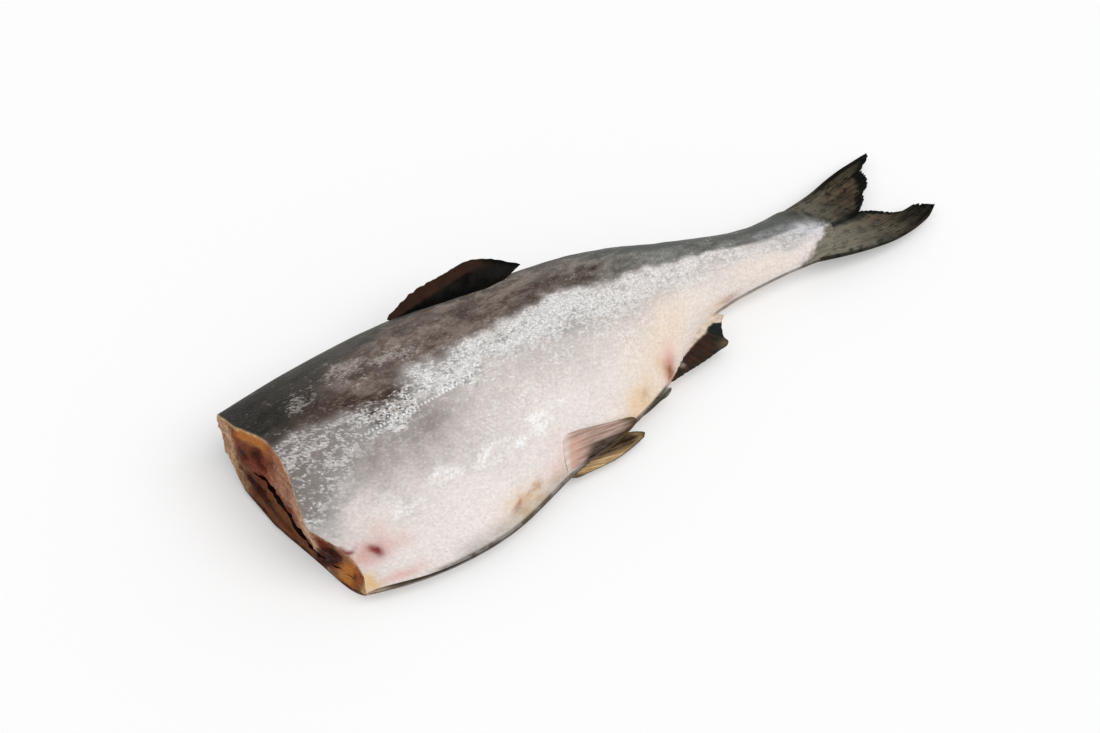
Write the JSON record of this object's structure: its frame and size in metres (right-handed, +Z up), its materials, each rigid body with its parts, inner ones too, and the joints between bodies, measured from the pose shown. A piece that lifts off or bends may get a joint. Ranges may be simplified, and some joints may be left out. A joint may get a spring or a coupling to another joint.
{
  "type": "headless gutted salmon",
  "caption": "Headless, gutted salmon lying on its side, cut square across the shoulders, with fins, a forked tail and a low open belly cavity.",
  "frame": {"origin": "middle of the bottom of the whole fish's box, on the surface that it lies on", "axes": "+X from the cut to the tail, +Y from belly to back, +Z up, through the body from its right flank to its left"},
  "size_m": [0.4294, 0.1439, 0.053],
  "materials": {
    "fish_skin": "wet, silvery"
  },
  "bodies": {
    "root": {"pink_salmon": "fish_skin"}
  },
  "joints": []
}
